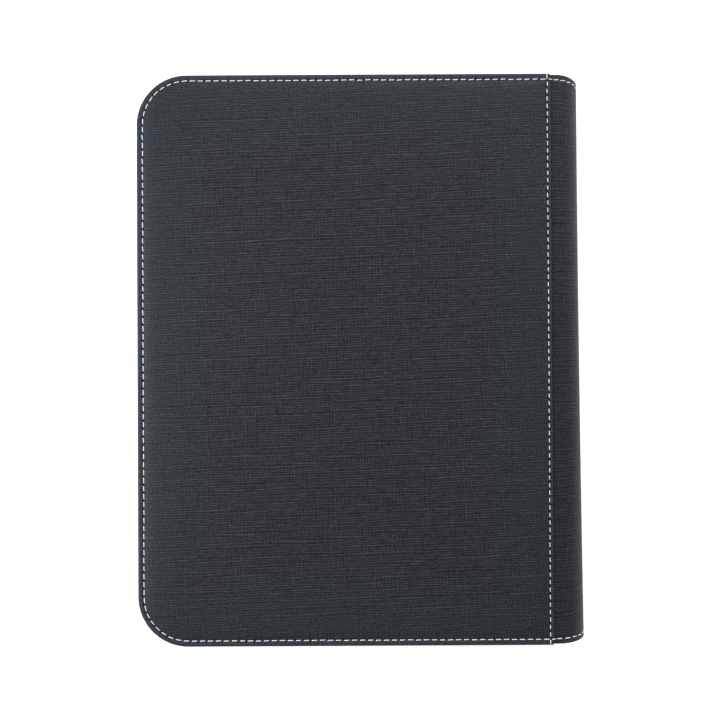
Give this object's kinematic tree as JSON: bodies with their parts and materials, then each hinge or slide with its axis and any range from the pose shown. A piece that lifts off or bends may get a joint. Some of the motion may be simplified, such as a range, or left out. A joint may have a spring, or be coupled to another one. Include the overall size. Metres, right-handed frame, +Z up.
{
  "type": "zippered card binder",
  "caption": "Closed zip binder with padded leather covers, a soft rounded spine, contrast stitching, a zip round three edges and hinged pocket leaves that open flat like a book.",
  "frame": {"origin": "under the middle of the closed binder, on the surface that it lies on", "axes": "+X from the fore edge to the spine, +Y along the spine towards the head, +Z up through the thickness, with the rear cover uppermost"},
  "size_m": [0.268, 0.342, 0.04],
  "materials": {
    "leather": "linen-grain embossed, satin",
    "foam": "closed-cell foam, matt",
    "board": "grey board, raw",
    "lining": "fine twill, matt",
    "binding": "stacked stubs, matt",
    "zip_tape": "woven, matt",
    "zip_coil": "nylon coil, satin",
    "zip_metal": "gunmetal plated, satin",
    "thread": "waxed thread",
    "page_plastic": "clear film on a dark core"
  },
  "bodies": {
    "front_cover": {"front_cover_leather": "leather", "front_cover_foam": "foam", "front_cover_board": "board", "front_cover_lining": "lining", "front_zip_tape": "zip_tape", "front_zip_coil": "zip_coil", "front_zip_stops": "zip_metal", "front_edge_stitching": "thread", "front_seam_stitching": "thread"},
    "spine": {"spine_leather": "leather", "spine_lining": "lining", "page_binding_block": "binding", "spine_hem_stitching": "thread"},
    "rear_cover": {"rear_cover_leather": "leather", "rear_cover_foam": "foam", "rear_cover_board": "board", "rear_cover_lining": "lining", "rear_zip_tape": "zip_tape", "rear_zip_coil": "zip_coil", "rear_zip_stops": "zip_metal", "rear_edge_stitching": "thread", "rear_seam_stitching": "thread"},
    "zip_slider": {"zip_slider": "zip_metal"},
    "zip_pull": {"zip_pull_tab": "zip_metal"},
    "page_01": {"page_01": "page_plastic"},
    "page_02": {"page_02": "page_plastic"},
    "page_03": {"page_03": "page_plastic"},
    "page_04": {"page_04": "page_plastic"},
    "page_05": {"page_05": "page_plastic"},
    "page_06": {"page_06": "page_plastic"},
    "page_07": {"page_07": "page_plastic"},
    "page_08": {"page_08": "page_plastic"},
    "page_09": {"page_09": "page_plastic"},
    "page_10": {"page_10": "page_plastic"},
    "page_11": {"page_11": "page_plastic"},
    "page_12": {"page_12": "page_plastic"},
    "page_13": {"page_13": "page_plastic"},
    "page_14": {"page_14": "page_plastic"},
    "page_15": {"page_15": "page_plastic"},
    "page_16": {"page_16": "page_plastic"},
    "page_17": {"page_17": "page_plastic"},
    "page_18": {"page_18": "page_plastic"},
    "page_19": {"page_19": "page_plastic"},
    "page_20": {"page_20": "page_plastic"}
  },
  "joints": [
    {"name": "spine_hinge", "type": "hinge", "parent": "front_cover", "child": "spine", "pos_m": [0.12976, 0, 0.00739], "axis": [0, 1, 0], "range_deg": [0, 90], "deforming": ["spine_leather", "spine_lining", "spine_hem_stitching"]},
    {"name": "rear_cover_hinge", "type": "hinge", "parent": "spine", "child": "rear_cover", "pos_m": [0.12976, 0, 0.03261], "axis": [0, 1, 0], "range_deg": [0, 90]},
    {"name": "page_01_turn", "type": "hinge", "parent": "spine", "child": "page_01", "pos_m": [0.12015, 0, 0.0067], "axis": [0, 1, 0], "range_deg": [-94, 0]},
    {"name": "page_02_turn", "type": "hinge", "parent": "spine", "child": "page_02", "pos_m": [0.11875, 0, 0.0081], "axis": [0, 1, 0], "range_deg": [-94, 0]},
    {"name": "page_03_turn", "type": "hinge", "parent": "spine", "child": "page_03", "pos_m": [0.11735, 0, 0.0095], "axis": [0, 1, 0], "range_deg": [-94, 0]},
    {"name": "page_04_turn", "type": "hinge", "parent": "spine", "child": "page_04", "pos_m": [0.11595, 0, 0.0109], "axis": [0, 1, 0], "range_deg": [-94, 0]},
    {"name": "page_05_turn", "type": "hinge", "parent": "spine", "child": "page_05", "pos_m": [0.11455, 0, 0.0123], "axis": [0, 1, 0], "range_deg": [-94, 0]},
    {"name": "page_06_turn", "type": "hinge", "parent": "spine", "child": "page_06", "pos_m": [0.11315, 0, 0.0137], "axis": [0, 1, 0], "range_deg": [-94, 0]},
    {"name": "page_07_turn", "type": "hinge", "parent": "spine", "child": "page_07", "pos_m": [0.11175, 0, 0.0151], "axis": [0, 1, 0], "range_deg": [-94, 0]},
    {"name": "page_08_turn", "type": "hinge", "parent": "spine", "child": "page_08", "pos_m": [0.11035, 0, 0.0165], "axis": [0, 1, 0], "range_deg": [-94, 0]},
    {"name": "page_09_turn", "type": "hinge", "parent": "spine", "child": "page_09", "pos_m": [0.10895, 0, 0.0179], "axis": [0, 1, 0], "range_deg": [-94, 0]},
    {"name": "page_10_turn", "type": "hinge", "parent": "spine", "child": "page_10", "pos_m": [0.10755, 0, 0.0193], "axis": [0, 1, 0], "range_deg": [-94, 0]},
    {"name": "page_11_turn", "type": "hinge", "parent": "spine", "child": "page_11", "pos_m": [0.10755, 0, 0.0207], "axis": [0, 1, 0], "range_deg": [0, 94]},
    {"name": "page_12_turn", "type": "hinge", "parent": "spine", "child": "page_12", "pos_m": [0.10895, 0, 0.0221], "axis": [0, 1, 0], "range_deg": [0, 94]},
    {"name": "page_13_turn", "type": "hinge", "parent": "spine", "child": "page_13", "pos_m": [0.11035, 0, 0.0235], "axis": [0, 1, 0], "range_deg": [0, 94]},
    {"name": "page_14_turn", "type": "hinge", "parent": "spine", "child": "page_14", "pos_m": [0.11175, 0, 0.0249], "axis": [0, 1, 0], "range_deg": [0, 94]},
    {"name": "page_15_turn", "type": "hinge", "parent": "spine", "child": "page_15", "pos_m": [0.11315, 0, 0.0263], "axis": [0, 1, 0], "range_deg": [0, 94]},
    {"name": "page_16_turn", "type": "hinge", "parent": "spine", "child": "page_16", "pos_m": [0.11455, 0, 0.0277], "axis": [0, 1, 0], "range_deg": [0, 94]},
    {"name": "page_17_turn", "type": "hinge", "parent": "spine", "child": "page_17", "pos_m": [0.11595, 0, 0.0291], "axis": [0, 1, 0], "range_deg": [0, 94]},
    {"name": "page_18_turn", "type": "hinge", "parent": "spine", "child": "page_18", "pos_m": [0.11735, 0, 0.0305], "axis": [0, 1, 0], "range_deg": [0, 94]},
    {"name": "page_19_turn", "type": "hinge", "parent": "spine", "child": "page_19", "pos_m": [0.11875, 0, 0.0319], "axis": [0, 1, 0], "range_deg": [0, 94]},
    {"name": "page_20_turn", "type": "hinge", "parent": "spine", "child": "page_20", "pos_m": [0.12015, 0, 0.0333], "axis": [0, 1, 0], "range_deg": [0, 94]},
    {"name": "zip_slide", "type": "slide", "parent": "front_cover", "child": "zip_slider", "axis": [-1, 0, 0], "range_m": [0, 0.198]},
    {"name": "pull_swing", "type": "hinge", "parent": "zip_slider", "child": "zip_pull", "pos_m": [0.10315, -0.169, 0.02], "axis": [0, 0, 1], "range_deg": [0, 180]}
  ],
  "couplings": [
    {"joint": "rear_cover_hinge", "follows": "spine_hinge", "ratio": 1},
    {"joint": "page_01_turn", "follows": "spine_hinge", "ratio": -1.0322},
    {"joint": "page_02_turn", "follows": "spine_hinge", "ratio": -1.03},
    {"joint": "page_03_turn", "follows": "spine_hinge", "ratio": -1.0278},
    {"joint": "page_04_turn", "follows": "spine_hinge", "ratio": -1.0256},
    {"joint": "page_05_turn", "follows": "spine_hinge", "ratio": -1.0233},
    {"joint": "page_06_turn", "follows": "spine_hinge", "ratio": -1.0211},
    {"joint": "page_07_turn", "follows": "spine_hinge", "ratio": -1.0189},
    {"joint": "page_08_turn", "follows": "spine_hinge", "ratio": -1.0167},
    {"joint": "page_09_turn", "follows": "spine_hinge", "ratio": -1.0144},
    {"joint": "page_10_turn", "follows": "spine_hinge", "ratio": -1.0122},
    {"joint": "page_11_turn", "follows": "spine_hinge", "ratio": 1.0122},
    {"joint": "page_12_turn", "follows": "spine_hinge", "ratio": 1.0144},
    {"joint": "page_13_turn", "follows": "spine_hinge", "ratio": 1.0167},
    {"joint": "page_14_turn", "follows": "spine_hinge", "ratio": 1.0189},
    {"joint": "page_15_turn", "follows": "spine_hinge", "ratio": 1.0211},
    {"joint": "page_16_turn", "follows": "spine_hinge", "ratio": 1.0233},
    {"joint": "page_17_turn", "follows": "spine_hinge", "ratio": 1.0256},
    {"joint": "page_18_turn", "follows": "spine_hinge", "ratio": 1.0278},
    {"joint": "page_19_turn", "follows": "spine_hinge", "ratio": 1.03},
    {"joint": "page_20_turn", "follows": "spine_hinge", "ratio": 1.0322}
  ]
}
